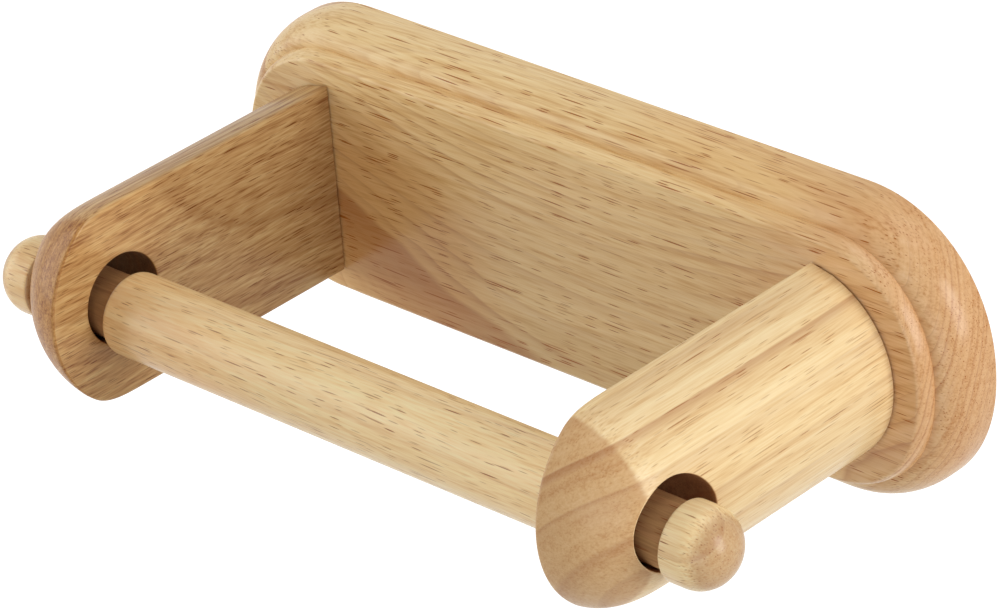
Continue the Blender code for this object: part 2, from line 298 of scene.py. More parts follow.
    for centre, reach, tint in look["blushAndShade"]:
        # a tinted stretch round one place, of one size and with a soft edge: most are pinker or darker
        # stretches of the wood, and the plate's stretch along the bottom of its front face is painted shade
        inBlushAndShade = add("Mapping", {"Vector": coords["Object"], "Location": inMetres(centre),
                                  "Scale": inMetres(reach)}, vector_type="TEXTURE")
        away = add("VectorMath", {0: inBlushAndShade}, operation="LENGTH").outputs["Value"]
        ragged = wood["blushAndShadeRagged"]
        away = summed([(away, 1.0), (soft(bent, *wood["blushAndShadeEdge"]), ragged)], -0.5 * ragged)
        fullShare, goneShare = wood["blushAndShadeShares"]
        blushAndShade = add("MapRange", {"Value": away, "From Min": fullShare, "From Max": goneShare,
                                 "To Min": 1.0, "To Max": 0.0}, interpolation_type="SMOOTHSTEP")
        paint = add("Mix", {0: blushAndShade, 6: paint, 7: colour(tint)}, data_type="RGBA",
                    blend_type="MULTIPLY").outputs[2]

    # end grain, where the surface faces along the grain
    facing = add("VectorMath", {0: coords["Normal"], 1: look["grain"]}, operation="DOT_PRODUCT")
    facing = add("Math", {0: facing.outputs["Value"]}, operation="ABSOLUTE")
    end = add("MapRange", {"Value": facing, "From Min": look["endFrom"][0], "From Max": look["endFrom"][1]},
              interpolation_type="SMOOTHSTEP")
    paint = add("Mix", {0: end, 6: paint, 7: colour(look["endTint"])}, data_type="RGBA",
                blend_type="MULTIPLY").outputs[2]

    # pores: the cells that are picked hold one dash each, of varying depth
    pores, dips = 0.0, 0.0
    for lengthways, width, share, reach in poreDashes.values():
        sized = add("Mapping", {"Vector": bent, "Scale": (1 / lengthways, 1 / width, 1 / width)})
        cells = add("TexVoronoi", {"Vector": sized, "Scale": 1.0}).outputs
        pick = add("SeparateColor", {0: cells["Color"]}).outputs
        least = 1 - share * look["poreShare"]
        chosen = add("MapRange", {"Value": pick[0], "From Min": least, "From Max": least + wood["pickEdge"]})
        dash = add("MapRange", {"Value": cells["Distance"], "From Min": wood["poreSoftShare"] * reach,
                                "From Max": reach, "To Min": 1.0, "To Max": 0.0},
                   interpolation_type="SMOOTHSTEP")
        dip = add("Math", {0: chosen, 1: dash}, operation="MULTIPLY")
        lowest, palest = wood["poreDepth"]
        depth = add("MapRange", {"Value": pick[1], "From Min": lowest, "To Min": palest})
        layer = add("Math", {0: dip, 1: depth}, operation="MULTIPLY")
        pores = add("Math", {0: layer, 1: pores}, operation="MAXIMUM")
        dips = add("Math", {0: dip, 1: dips}, operation="MAXIMUM")
    # they are filled darker in the growth lines and the deeper streaks, and paler on end grain
    endLow, endHigh = wood["endPoreFrom"]
    poreStrength = look["poreStrength"]
    filled = add("MapRange", {"Value": facing, "From Min": endLow, "From Max": endHigh,
                              "To Min": poreStrength, "To Max": poreStrength * look["endPores"]})
    everywhere, inLines, inStreaks = wood["poreFill"]
    darker = summed([(line, inLines), (figure, inStreaks)], everywhere)
    filled = add("Math", {0: darker, 1: filled}, operation="MULTIPLY")
    filled = add("Math", {0: filled, 1: pores}, operation="MULTIPLY", use_clamp=True)
    paint = add("Mix", {0: filled, 6: paint, 7: colour(look["pore"])}, data_type="RGBA").outputs[2]
    tree.links.new(paint, shader.inputs["Base Color"])

    # the film dips a little into the pores
    bump = add("Bump", {"Height": dips, "Strength": wood["dipStrength"],
                        "Distance": wood["filmDip"] * millimetre}, invert=True)
    tree.links.new(bump.outputs[0], shader.inputs["Normal"])
    rough = add("MapRange", {"Value": figure, "To Min": look["rough"],
                             "To Max": look["rough"] + wood["roughSpread"]})
    tree.links.new(rough.outputs[0], shader.inputs["Roughness"])
    shader.inputs["IOR"].default_value = wood["ior"]
    shader.inputs["Specular IOR Level"].default_value = look["shine"]
    shader.inputs["Coat Weight"].default_value = look["coat"]
    shader.inputs["Coat Roughness"].default_value = wood["coatRough"]
    return material


def bare(look):
    # The same wood where no lacquer reaches, inside a bored or routed hole or on the roller's necks:
    # torn or rubbed fibres, so duller and darker. In the arms' holes and on the necks the colours are darker
    # still, as painted shade for the inside of the holes
    return {**look, "pale": look["borePale"], "middle": look["boreMiddle"], "deep": look["boreDeep"],
            "coat": 0.0, "rough": wood["bareRough"], "shine": wood["bareShine"]}


zinc = {
    "dull": "#B9BDBE",
    "bright": "#D3D6D5",
    "cloudSize": 3.5,         # millimetres
    "cloudShares": (0.35, 0.65),
    "markSize": 0.35,
    "markDepth": 0.05,
    "markStrength": 0.15,
    "rough": (0.22, 0.42),
}


def makeZincedSteel(name):
    # Zinc-plated mild steel: a cool grey metal with faint cloudy patches and fine marks from the
    # press
    material, tree, shader = newMaterial(name)
    coords = addNode(tree, "TexCoord").outputs["Object"]
    clouds, marks = (addNode(tree, "TexNoise", {"Vector": coords, "Scale": 1 / (size * millimetre),
                                                "Detail": detail})
                     for size, detail in ((zinc["cloudSize"], 3.0), (zinc["markSize"], 2.0)))
    shade = addNode(tree, "ValToRGB", {"Fac": clouds})
    for element, tone, place in zip(shade.color_ramp.elements, ("dull", "bright"), zinc["cloudShares"]):
        element.color = colour(zinc[tone])
        element.position = place
    tree.links.new(shade.outputs[0], shader.inputs["Base Color"])
    smooth, rough = zinc["rough"]
    roughness = addNode(tree, "MapRange", {"Value": marks, "To Min": smooth, "To Max": rough})
    tree.links.new(roughness.outputs[0], shader.inputs["Roughness"])
    bump = addNode(tree, "Bump", {"Height": marks, "Strength": zinc["markStrength"],
                                  "Distance": zinc["markDepth"] * millimetre})
    tree.links.new(bump.outputs[0], shader.inputs["Normal"])
    shader.inputs["Metallic"].default_value = 1.0
    return material


# Back plate

plate = {
    "endLength": 31.3,        # how far the round ends reach along x
    "fullness": 2.1,          # 2 is an ellipse, more is squarer
    "backEase": 0.5,          # rounding of the edge on the wall
    "band": 3.2,              # straight edge band
    "roundOverDepth": 9.5,
    "roundOverWidth": 5.7,
    "step": 0.3,
    "beadDepth": 3.7,
    "beadWidth": 1.9,
    "beadLean": 0.6,          # how much of its width the bead leans back evenly
    "beadFullness": 2.6,      # 2 is an ellipse, more is squarer
    "faceRing": 0.5,          # flat strip between the bead and the face
    "endPoints": 110,         # points round each end
    "curvePoints": 15,        # points across each curve of the moulding
}

hanger = {
    "spacing": 80.0,
    "width": 16.0,
    "half": 19.05,
    "near": 0.2,              # depth of its face towards the wall
    "far": 1.4,
    "pocket": 1.7,            # depth of the seat cut for it
    "gap": 0.3,               # room round it and round the screws
    "ease": 0.12,             # rounding of its stamped edges
    "easeShare": 0.3,         # where the middle of that rounding lies
    "holeEase": 0.08,
    "headRadius": 4.8,        # keyhole
    "headZ": -3.85,
    "slotRadius": 2.5,
    "slotZ": 6.15,
    "cavity": 8.2,            # depth of the room for the wall screw's head
    "screwZ": 14.05,
    "pilotCone": 2.3,         # depth where the screws' holes in the wood get narrow
    "pilotDepth": 12.5,
}

armScrew = {
    "length": 40.0,
    "radius": 2.0,
    "head": 4.0,              # radius of its head
    "sink": 0.5,              # depth of its head
    "pitch": 1.8,
    "threadFrom": 0.42,       # plain share of the cone and shank
    "depth": 0.5,             # depth of the thread
    "spacing": 24.0,
    "place": 8.61,            # out from the arm's flat inner face
    "plateDepth": 16.0,       # depth of its hole in the plate
}

hangerScrew = {"length": 12.0, "radius": 1.3, "head": 3.0, "sink": 0.2, "pitch": 1.1,
               "threadFrom": 0.22, "depth": 0.32}

screwShape = {
    # what all the screws share, with shares of the head's radius, or of the shank's for the tip
    "rimShare": 0.12,                    # height of the head's straight rim
    "edge": 0.06,                        # bevel of the head's edge, in millimetres
    "recessShares": (0.58, 0.15, 0.5),   # half span, half width and depth of the cross recess
    "recessLean": 0.12,                  # how far its walls lean, in millimetres
    "recessTaper": 0.6,                  # 1 gets deeper evenly towards the middle
    "tipShare": 2.5,
    "flankSlope": 1.6,                   # steepness of the thread's flanks
    "ridge": 0.1,                        # how flat the thread's ridge is
    "sides": 64,
    "headRings": 34,
    "coneRings": 8,
    "pitchRings": 9,
    "tipRings": 20,
}

plateWood = {
    "pith": (0, 100, -34), "turn": (0, 0, 0), "grain": (1, 0, 0), "bow": (10, 0.00077),
    "sway": 1.9, "swaySize": (80, 15), "ring": 2.2, "spacing": 1.5, "loose": 1.6, "firstLine": 110.0,
    "lineStrength": 0.28, "calmFrom": (23, 31), "accent": (115.5, 5.0, 0.56, 15),
    # tinted stretches; the last, darker along the bottom of the front face, is painted shade
    "blushAndShade": [((108, -8, 12), (72, 60, 70), "#EFE1E3"), ((-55, -17, -13), (44, 20, 38), "#F0DECA"),
              ((58, -6, 36), (60, 20, 16), "#FAEFE2"), ((14, -17, -30), (60, 14, 22), "#EBE8E2")],
    "figure": (0.45, 0.7, 0.8, 0.8), "streakWidth": 1.5,
    "pale": "#F9DDA8", "middle": "#F0CE94", "deep": "#D7A869", "line": "#B06E3C",
    "pore": "#A25600", "poreStrength": 1.75, "poreShare": 0.7, "endPores": 0.6,
    "endFrom": (0.3, 0.9), "endTint": "#F7EEE6", "rough": 0.45, "coat": 0.55, "shine": 0.05,
    "borePale": "#D9BB88", "boreMiddle": "#C9A977", "boreDeep": "#B89461",
}


def plateOutline():
    # Two ends along |x/a|^n + |z/b|^n = 1, where n is the fullness, a the end's length and b half
    # the height, joined by straight sides: points and outward directions
    halfWidth, _, halfHeight = boxInMm("back_plate")[1]
    fullness, endLength = plate["fullness"], plate["endLength"]
    turn = np.linspace(np.pi / 2, -np.pi / 2, plate["endPoints"])
    across = np.maximum(np.cos(turn), 0) ** (2 / fullness)
    up = np.sign(np.sin(turn)) * np.abs(np.sin(turn)) ** (2 / fullness)
    x, z = halfWidth - endLength + endLength * across, halfHeight * up
    normal = np.stack([across ** (fullness - 1) / endLength,
                       np.sign(up) * np.abs(up) ** (fullness - 1) / halfHeight], axis=1)
    normal /= np.linalg.norm(normal, axis=1)[:, None]
    points = np.concatenate([np.stack([x, z], axis=1), np.stack([-x, -z], axis=1)])
    return points, np.concatenate([normal, -normal])


def plateProfile():
    # The moulding as (inset, depth): eased back edge, band, elliptical round-over, step, bead, flat
    sine, cosine = quarter(plate["curvePoints"])
    ease, lean, beadEdge = plate["backEase"], plate["beadLean"], plate["roundOverWidth"]
    beadFoot = plate["band"] + plate["roundOverDepth"] + plate["step"]
    up, over = sine ** (2 / plate["beadFullness"]), cosine ** (2 / plate["beadFullness"])
    bead = beadEdge + lean * up + (plate["beadWidth"] - lean) * (1 - over)
    inset = [ease * (1 - sine), beadEdge * (1 - cosine), bead, [bead[-1] + plate["faceRing"]]]
    depth = [ease * (1 - cosine), plate["band"] + plate["roundOverDepth"] * sine,
             beadFoot + plate["beadDepth"] * up, [beadFoot + plate["beadDepth"]]]
    return np.concatenate(inset), np.concatenate(depth)


def circle(radius, x, z, count):
    # Points on a circle round (x, z)
    angle = np.linspace(0, 2 * np.pi, count, endpoint=False)
    return np.stack([x + radius * np.cos(angle), z + radius * np.sin(angle)], axis=1)


def stadium(radius, lowZ, highZ, x=0.0, count=24):
    # A slot shape: two half circles of one radius round lowZ and highZ
    angle = np.linspace(0, np.pi, count)
    top = np.stack([x + radius * np.cos(angle), highZ + radius * np.sin(angle)], axis=1)
    bottom = np.stack([x - radius * np.cos(angle), lowZ - radius * np.sin(angle)], axis=1)
    return np.concatenate([top, bottom])


def atDepth(outline, depth):
    # An outline in x and z as points at one depth from the wall
    return np.stack([outline[:, 0], np.full(len(outline), -float(depth)), outline[:, 1]], axis=1)


def sunk(loops):
    # The wall of a hole, whose loops go from the surface inwards
    return np.array(loops), gridFaces(len(loops), len(loops[0]))[:, ::-1]


def blindHole(loops):
    # A hole in the wood as two parts with the bare finish, its wall and its flat floor
    return [(*sunk(loops), 1), (loops[-1], flatFaces([loops[-1]]), 1)]


def roundHole(stops, x, z, count=40):
    # Loops of a round hole with its radius and depth at each stop, from the mouth inwards
    return [atDepth(circle(radius, x, z, count), depth) for radius, depth in stops]


def headSeat(size):
    # Radius of the hole round a countersunk head, and the depth at which its cone starts
    return size["head"] + hanger["gap"], size["sink"] + screwShape["rimShare"] * size["head"]


def makePlate(materials):
    # The outer skin is the moulding's profile carried along the outline: each point moves
    # inwards by the inset and out from the wall by the depth. Seats and holes are sunk into the back.
    outline, normal = plateOutline()
    inset, depth = plateProfile()
    x = outline[None, :, 0] - inset[:, None] * normal[None, :, 0]
    z = outline[None, :, 1] - inset[:, None] * normal[None, :, 1]
    skin = np.stack([x, -np.broadcast_to(depth[:, None], x.shape), z], axis=2)
    parts = [(skin, gridFaces(*skin.shape[:2]), 0), (skin[-1], flatFaces([skin[-1]]), 0)]
    gap, pocket = hanger["gap"], hanger["pocket"]
    straight = hanger["half"] - hanger["width"] / 2
    pilot = hangerScrew["radius"] + gap
    pilotStops = [(pilot + hanger["pilotCone"] - pocket, pocket), (pilot, hanger["pilotCone"]),
                  (pilot, hanger["pilotDepth"])]
    wide, rimDepth = headSeat(armScrew)
    narrow = armScrew["radius"] + gap
    armStops = [(wide, 0), (wide, rimDepth), (narrow, rimDepth + wide - narrow),
                (narrow, armScrew["plateDepth"])]
    mouths = []
    for side in (-1, 1):
        middle = side * hanger["spacing"] / 2
        rim = stadium(hanger["width"] / 2 + gap, -straight, straight, middle)
        seat = [atDepth(rim, 0), atDepth(rim, pocket)]
        room = stadium(hanger["headRadius"] + gap, hanger["headZ"], hanger["slotZ"], middle)
        cavity = [atDepth(room, pocket), atDepth(room, hanger["cavity"])]
        parts += [(*sunk(seat), 1)] + blindHole(cavity)
        mouths.append(seat[0])
        floor = [seat[1], cavity[0]]
        for up in (-1, 1):
            hole = roundHole(pilotStops, middle, up * hanger["screwZ"], count=32)
            parts += blindHole(hole)
            floor.append(hole[0])
        parts.append((np.concatenate(floor), flatFaces(floor), 1))
        for up in (-1, 1):
            hole = roundHole(armStops, side * (armFace() + armScrew["place"]), up * armScrew["spacing"] / 2)
            parts += blindHole(hole)
            mouths.append(hole[0])
    back = [skin[0]] + mouths
    parts.append((np.concatenate(back), flatFaces(back), 0))
    return makePiece("back_plate_wood", parts, materials, "back_plate", "holder")


# Arms

arm = {
    "domeSwell": 3.0,         # how much larger the dome's ball is than the barrel, seen from the side
    "domeSideSwell": 1.3,     # the same across the thickness
    "holeRadius": 10.0,
    "frontWall": 10.1,        # wood in front of the hole
    "edgeEase": 0.8,          # smoothing where the flat inner face meets the round side
    "ridgeEase": 2.6,         # smoothing between the round side and the dome
    "rimEase": 0.55,          # smoothing of the hole's rims
    "footEase": 0.2,
    "turns": 226,             # grid lines round the hole
    "footTurns": 38,          # grid lines that meet the plate
    "boreRows": 18,           # grid rows up the hole, over the round side, down the foot and back
    "sideRows": 64,
    "footRows": 14,
    "faceRows": 40,
}

leftArmWood = {
    "pith": (-150, 0, 18), "turn": (0, 0, 87), "grain": (0, 1, 0), "bow": (0, 0.0),
    "sway": 3.0, "swaySize": (70, 20), "ring": 2.6, "spacing": 3.2, "loose": 1.0, "firstLine": 72.0,
    "lineStrength": 0.30, "blushAndShade": [((-67, -35, -6), (60, 70, 70), "#E9EEF5")],
    "figure": (0.5, 0.5, 1.2, 1.1), "streakWidth": 1.1,
    "pale": "#E2BC81", "middle": "#CA9B62", "deep": "#955D31", "line": "#9B6331",
    "pore": "#6A3000", "poreStrength": 1.0, "poreShare": 1.35, "endPores": 0.4,
    "endFrom": (0.27, 0.38), "endTint": "#F0E0C8", "rough": 0.45, "coat": 0.4, "shine": 0.05,
    # bore colours: drilled wood, darker partly as painted shade inside the hole
    "borePale": "#96714B", "boreMiddle": "#85613E", "boreDeep": "#6E4E31",
}

rightArmWood = {
    "pith": (102.7, 0, -34.5), "turn": (0, 0, 90), "grain": (0, 1, 0), "bow": (0, 0.0),
    "sway": 1.6, "swaySize": (70, 24), "ring": 6.0, "spacing": 8.2, "loose": 0.6, "firstLine": 58.6,
    "lineStrength": 0.27, "accent": (59.4, 2.6, 0.55, 200), "blushAndShade": [],
    "figure": (0.4, 0.4, 0.8, 0.8), "streakWidth": 1.2,
    "pale": "#F9E0B0", "middle": "#F1D29D", "deep": "#E0B67E", "line": "#B5774A",
    "pore": "#A05816", "poreStrength": 0.8, "poreShare": 0.95, "endPores": 0.4,
    "endFrom": (0.27, 0.38), "endTint": "#E2D1C6", "rough": 0.45, "coat": 0.4, "shine": 0.05,
    # bore colours: drilled wood, darker partly as painted shade inside the hole
    "borePale": "#C69C70", "boreMiddle": "#B2865C", "boreDeep": "#98704C",
}


def armFace():
    # How far the arms' flat inner faces stand from the middle
    return boxInMm("right_arm")[0][0]


def armSizes():
    # An arm's half height, the depths of its back and of its hole, and the barrel and dome that
    # its height, thickness and front give: radii, and where their middles lie
    low, high = boxInMm("right_arm")
    half, thick = high[2], high[0] - low[0]
    barrel = (half ** 2 + thick ** 2) / (2 * thick)
    front = -low[1]
    hole = front - arm["frontWall"] - arm["holeRadius"]
    dome = max(half, barrel) + arm["domeSwell"]
    return {"half": half, "back": -high[1], "hole": hole, "barrel": barrel, "axis": thick - barrel,
            "dome": dome, "domeSide": barrel + arm["domeSideSwell"], "domeCentre": front - dome}


def smoothMax(first, second, ease):
    # The larger of two fields, with their crossing rounded over a width of ease
    near = np.maximum(ease - np.abs(first - second), 0) / ease
    return np.maximum(first, second) + near * near * ease / 4


def armField(points, size):
    # Negative inside the arm: a barrel and a ball-shaped dome, cut flat inside and at the foot,
    # less the hole. Each is roughly a distance in millimetres.
    x, depth, z = points[..., 0], points[..., 1], points[..., 2]
    barrel = np.hypot(x - size["axis"], z) - size["barrel"]
    past = np.maximum(depth - size["domeCentre"], 0)
    ball = np.sqrt(((x - size["axis"]) / size["domeSide"]) ** 2 + (z ** 2 + past ** 2) / size["dome"] ** 2)
    dome = (ball - 1) * size["domeSide"]
    bore = arm["holeRadius"] - np.hypot(depth - size["hole"], z)
    field = smoothMax(barrel, dome, arm["ridgeEase"])
    field = smoothMax(field, -x, arm["edgeEase"])
    field = smoothMax(field, bore, arm["rimEase"])
    return smoothMax(field, size["back"] - depth, arm["footEase"])


def settle(points, field, rounds=6):
    # Moves points along the field's slope until the field is zero there, as Newton's method does
    reach = 0.002             # millimetres to each side, to find the slope
    for _ in range(rounds):
        value = field(points)
        slope = np.stack([(field(points + reach * axis) - field(points - reach * axis)) / (2 * reach)
                          for axis in np.eye(3)], axis=-1)
        points = points - slope * (value / np.maximum((slope ** 2).sum(-1), tiny))[..., None]
    return points


def armGrid():
    # A closed ring of sections round the hole's axis. In each section the line runs up the bore,
    # out over the round side, down the foot and back along the flat face, and is then settled
    # on the smoothed field.
    size = armSizes()
    bore, half = arm["holeRadius"], size["half"]
    footReach = size["hole"] - size["back"]
    footTurn = math.atan2(half, footReach)
    turn = np.concatenate([np.linspace(-np.pi + footTurn, np.pi - footTurn, arm["turns"]),
                           np.linspace(np.pi - footTurn, np.pi + footTurn, arm["footTurns"])[1:-1]])
    cosine, sine = np.cos(turn), np.sin(turn)
    toSide = half / np.maximum(np.abs(sine), tiny)
    toFoot = np.where(cosine < 0, footReach / np.maximum(-cosine, tiny), np.inf)
    ahead = size["hole"] - size["domeCentre"]
    room = size["dome"] ** 2 * (1 - (size["axis"] / size["domeSide"]) ** 2)
    toDome = -ahead * cosine + np.sqrt(np.maximum((ahead * cosine) ** 2 - ahead ** 2 + room, 0))
    toDome = np.where(toDome * cosine + ahead > 0, toDome, np.inf)
    reach = np.minimum(np.minimum(toSide, toFoot), toDome)

    def height(out):
        # How thick the arm is at a distance out from the hole's axis
        depth, z = size["hole"] + out * cosine, out * sine
        past = np.maximum(depth - size["domeCentre"], 0)
        barrel = np.sqrt(np.maximum(size["barrel"] ** 2 - z ** 2, 0))
        dome = size["domeSide"] * np.sqrt(np.maximum(1 - (z ** 2 + past ** 2) / size["dome"] ** 2, 0))
        return np.maximum(size["axis"] + np.minimum(barrel, dome), 0)

    upBore = crowded(arm["boreRows"])[:-1, None]
    outward = np.sin(np.pi / 2 * (1 - np.cos(np.linspace(0, np.pi / 2, arm["sideRows"]))))[:-1, None]
    downFoot = crowded(arm["footRows"])[:-1, None]
    inward = crowded(arm["faceRows"])[:-1, None]
    flat = np.zeros_like(reach)[None, :]
    outs = [bore + 0 * upBore + flat, bore + outward * (reach - bore), reach + 0 * downFoot + flat,
            reach - inward * (reach - bore)]
    heights = [upBore * height(bore + 0 * reach), height(outs[1]), (1 - downFoot) * height(reach),
               0 * inward + flat]
    out, x = np.concatenate(outs), np.concatenate(heights)
    points = np.stack([x, size["hole"] + out * cosine, out * sine], axis=-1)
    return settle(points, lambda moved: armField(moved, size)), len(upBore)


def makeArm(side, name, materials):
    # The grid is mirrored for the left arm. Its bore is a part of its own, for the drilled finish with its
    # painted shade.
    points, boreRows = armGrid()
    placed = np.stack([side * (armFace() + points[..., 0]), -points[..., 1], points[..., 2]], axis=-1)
    faces = gridFaces(*placed.shape[:2], closeRows=True)
    if side > 0:
        faces = faces[:, ::-1]
    columns = placed.shape[1]
    row = faces.min(axis=1) // columns
    wraps = faces.max(axis=1) // columns - row > 1
    inBore = (row < boreRows) & ~wraps
    parts = [(placed, faces[~inBore], 0), (placed, faces[inBore], 1)]
    return makePiece(name + "_wood", parts, materials, name, "holder")


# Roller

roller = {
    "barRadius": 9.1,
    "barEnd": 65.0,           # half the bar's length
    "shoulder": 1.6,          # rounding of the bar's ends
    "neckRadius": 7.1,
    "neckEase": 0.3,          # size of the corners at the neck's ends
    "knobStart": 87.9,
    "knobRadius": 8.65,
    "knobEdge": 0.775,        # rounding of the knob's inner edge
    "knobEnd": 100.0,
    "dome": 7.8,              # length of the knob's domed end
    "sides": 112,
    "barRings": 24,           # rings on each half of the bar
    "neckRings": 6,
    "neckFrom": 1.0,          # where the neck's rings start, out from the bar's end
    "knobRings": 3,
    "knobFrom": 1.6,          # where the knob's rings start, and how far from the dome they stop
    "knobUntil": 0.4,
    "edgePoints": 10,
    "domePoints": 26,
}

rollerWood = {
    "pith": (0, -104, 34), "turn": (0, 1.0, 1.6), "grain": (1, 0, 0), "bow": (0, 0.0),
    "sway": 3.0, "swaySize": (60, 20), "ring": 4.0, "spacing": 7.0, "loose": 1.0, "firstLine": 42.0,
    "lineStrength": 0.25,
    "blushAndShade": [((-62, -88, -6), (52, 20, 20), "#FFF4EC"), ((-70, -82, 0), (130, 30, 30), "#F6F2ED")],
    "figure": (0.6, 0.4, 0.8, 1.0), "streakWidth": 1.3,
    "pale": "#FFECBA", "middle": "#FADCA5", "deep": "#E8BE84", "line": "#CE9666",
    "pore": "#8C3E08", "poreStrength": 1.05, "poreShare": 1.0, "endPores": 0.6,
    "endFrom": (0.3, 0.7), "endTint": "#D2C3BD", "rough": 0.45, "coat": 0.6, "shine": 0.05,
    # neck colours: bare turned wood, darker partly as painted shade inside the arms' holes
    "borePale": "#C79860", "boreMiddle": "#B88958", "boreDeep": "#A3754A",
}


def makeRoller(materials):
    # A turned profile of (place along x, radius), mirrored about the middle and spun round the axis
    low, high = boxInMm("roller")
    centreY, centreZ = (low[1] + high[1]) / 2, (low[2] + high[2]) / 2
    barEnd, shoulder, barRadius = roller["barEnd"], roller["shoulder"], roller["barRadius"]
    ease, neck, edge = roller["neckEase"], roller["neckRadius"], roller["knobEdge"]
    start, end, dome, knob = roller["knobStart"], roller["knobEnd"], roller["dome"], roller["knobRadius"]
    sine, cosine = quarter(roller["edgePoints"])
    domeSine, domeCosine = quarter(roller["domePoints"])
    stretches = [
        (np.linspace(0, barEnd - shoulder, roller["barRings"]), barRadius),
        (barEnd - shoulder * (1 - sine[1:]), barRadius - shoulder * (1 - cosine[1:])),
        ([barEnd, barEnd + ease], [neck + ease, neck]),
        (np.linspace(barEnd + roller["neckFrom"], start - ease, roller["neckRings"]), neck),
        ([start], neck + ease),
        (start + edge * (1 - cosine), knob - edge * (1 - sine)),
        (np.linspace(start + roller["knobFrom"], end - dome - roller["knobUntil"], roller["knobRings"]),
         knob),
        (end - dome * (1 - domeSine), knob * domeCosine)]
    along = np.concatenate([place for place, _ in stretches])
    radius = np.concatenate([np.broadcast_to(size, np.shape(place)) for place, size in stretches])
    along = np.concatenate([-along[:0:-1], along])
    radius = np.concatenate([radius[:0:-1], radius])
    turn = np.linspace(0, 2 * np.pi, roller["sides"], endpoint=False)
    points = np.stack([np.broadcast_to(along[:, None], (len(along), len(turn))),
                       centreY + radius[:, None] * np.cos(turn),
                       centreZ + radius[:, None] * np.sin(turn)], axis=-1)
    faces = gridFaces(*points.shape[:2])[:, ::-1]
    place = np.abs(points.reshape(-1, 3)[faces, 0]).mean(axis=1)
    # the necks inside the arms' holes get the bare wood, darker partly as painted shade
    onNeck = (place > barEnd) & (place < start)
    return makePiece("roller_wood", [(points, faces[~onNeck], 0), (points, faces[onNeck], 1)], materials,
                     "roller", "roller")


# Hanger plates and screws

def keyhole(grow, count=40):
    # A round hole with a narrower slot above it, both grown by the same amount
    head, slot = hanger["headRadius"] + grow, hanger["slotRadius"] + grow
    meet = math.asin(slot / head)
    low = np.linspace(np.pi / 2 + meet, 2.5 * np.pi - meet, count)
    top = np.linspace(0, np.pi, count // 2)
    return np.concatenate([
        np.stack([head * np.cos(low), hanger["headZ"] + head * np.sin(low)], axis=1),
        np.stack([slot * np.cos(top), hanger["slotZ"] + slot * np.sin(top)], axis=1)])


def makeHanger(side, name, materials):
    # Stamped plate: an outline and a keyhole whose walls are eased at both faces, and two
    # countersunk holes
    ease, near, far = hanger["ease"], hanger["near"], hanger["far"]
    part = hanger["easeShare"] * ease
    steps = [(ease, near), (part, near + part), (0, near + ease),
             (0, far - ease), (part, far - part), (ease, far)]
    half = hanger["width"] / 2
    straight = hanger["half"] - half
    outer = np.array([atDepth(stadium(half - inset, -straight, straight), depth) for inset, depth in steps])
    wide, rimDepth = headSeat(hangerScrew)
    stops = [(wide + hanger["holeEase"], near), (wide, near + hanger["holeEase"]), (wide, rimDepth),
             (wide - far + rimDepth, far)]
    holes = [[atDepth(keyhole(inset), depth) for inset, depth in steps]]
    holes += [roundHole(stops, 0, up * hanger["screwZ"]) for up in (-1, 1)]
    parts = [(outer, gridFaces(*outer.shape[:2]), 0)] + [(*sunk(hole), 0) for hole in holes]
    for face in (0, -1):
        loops = [outer[face]] + [hole[face] for hole in holes]
        parts.append((np.concatenate(loops), flatFaces(loops), 0))
    shift = np.array([side * hanger["spacing"] / 2, 0, 0])
    parts = [(points + shift, faces, number) for points, faces, number in parts]
    return makePiece(name + "_steel", parts, materials, name, "holder", sharpDegrees=50)


def crossRecess(x, z, span, width, deep):
    # Depth of a cross recess: four tapered slots that get deeper towards the middle
    def slot(along, across):
        inside = np.clip((width - np.abs(across)) / screwShape["recessLean"], 0, 1)
        return inside * np.clip((span - np.abs(along)) / span, 0, 1) ** screwShape["recessTaper"]
    return deep * np.maximum(slot(x, z), slot(z, x))


def makeScrew(name, size, x, z, materials):
    # One grid from the middle of the head to the tip: the head's top sinks by the cross recess,
    # and on the shank the radius rises and falls along a helix, (turn / full turn - place / pitch)
    head, shank, length, pitch = size["head"], size["radius"], size["length"], size["pitch"]
    edge, rim = screwShape["edge"], screwShape["rimShare"] * head
    cone = rim + head - shank
    tip = length - screwShape["tipShare"] * shank
    turn = np.linspace(0, 2 * np.pi, screwShape["sides"], endpoint=False)
    top = np.linspace(0, 1, screwShape["headRings"])[:, None] * (head - edge)
    down = np.concatenate([[edge, rim / 2, rim], np.linspace(rim, cone, screwShape["coneRings"])[1:],
                           np.arange(cone, tip, pitch / screwShape["pitchRings"])[1:],
                           np.linspace(tip, length, screwShape["tipRings"])])[:, None]
    plain = np.interp(down, [edge, rim, cone, tip, length], [head, head, shank, shank, 0])
    threadStart = cone + size["threadFrom"] * (length - cone)
    fade = np.clip((down - threadStart) / pitch, 0, 1)
    wave = np.abs(((turn / (2 * np.pi) - down / pitch) % 1) * 2 - 1)
    flank = np.clip((1 - wave) * screwShape["flankSlope"] - screwShape["ridge"], 0, 1)
    radius = np.maximum(plain - size["depth"] * fade * flank * np.clip(plain / shank, 0, 1), 0)
    shares = screwShape["recessShares"]
    recess = crossRecess(top * np.cos(turn), top * np.sin(turn), *[share * head for share in shares])
    ring = np.concatenate([np.broadcast_to(top, recess.shape), radius])
    depth = size["sink"] + np.concatenate([recess, np.broadcast_to(down, radius.shape)])
    points = np.stack([x + ring * np.cos(turn), -depth, z + ring * np.sin(turn)], axis=-1)
    return makePiece(name + "_steel", [(points, gridFaces(*points.shape[:2]), 0)], materials, name,
                     "holder", sharpDegrees=35)


